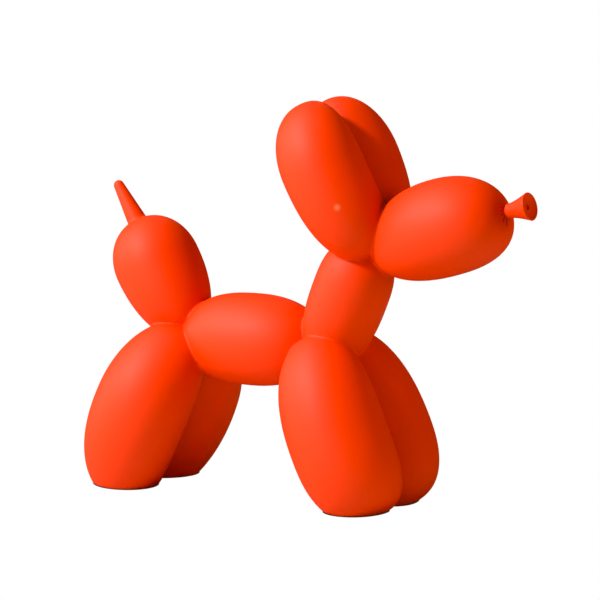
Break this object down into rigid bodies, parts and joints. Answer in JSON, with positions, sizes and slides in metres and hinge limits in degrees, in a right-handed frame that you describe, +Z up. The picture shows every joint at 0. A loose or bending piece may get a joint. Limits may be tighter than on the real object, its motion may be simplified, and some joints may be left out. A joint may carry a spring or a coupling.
{
  "type": "balloon dog statue",
  "caption": "Cast ornament of a dog twisted from a long balloon, standing on flat-cut feet, with a knotted snout and a tapered tail tip, painted matte orange-red.",
  "frame": {"origin": "the middle of the figure's box, on the plane of its soles", "axes": "+X forward, towards the knot on the snout; +Y to the dog's left; +Z up"},
  "size_m": [0.2612, 0.1004, 0.2143],
  "materials": {
    "paint": "orange-red paint with a soft, matte to satin sheen over cast resin"
  },
  "bodies": {
    "root": {"balloon_dog": "paint"}
  },
  "joints": []
}
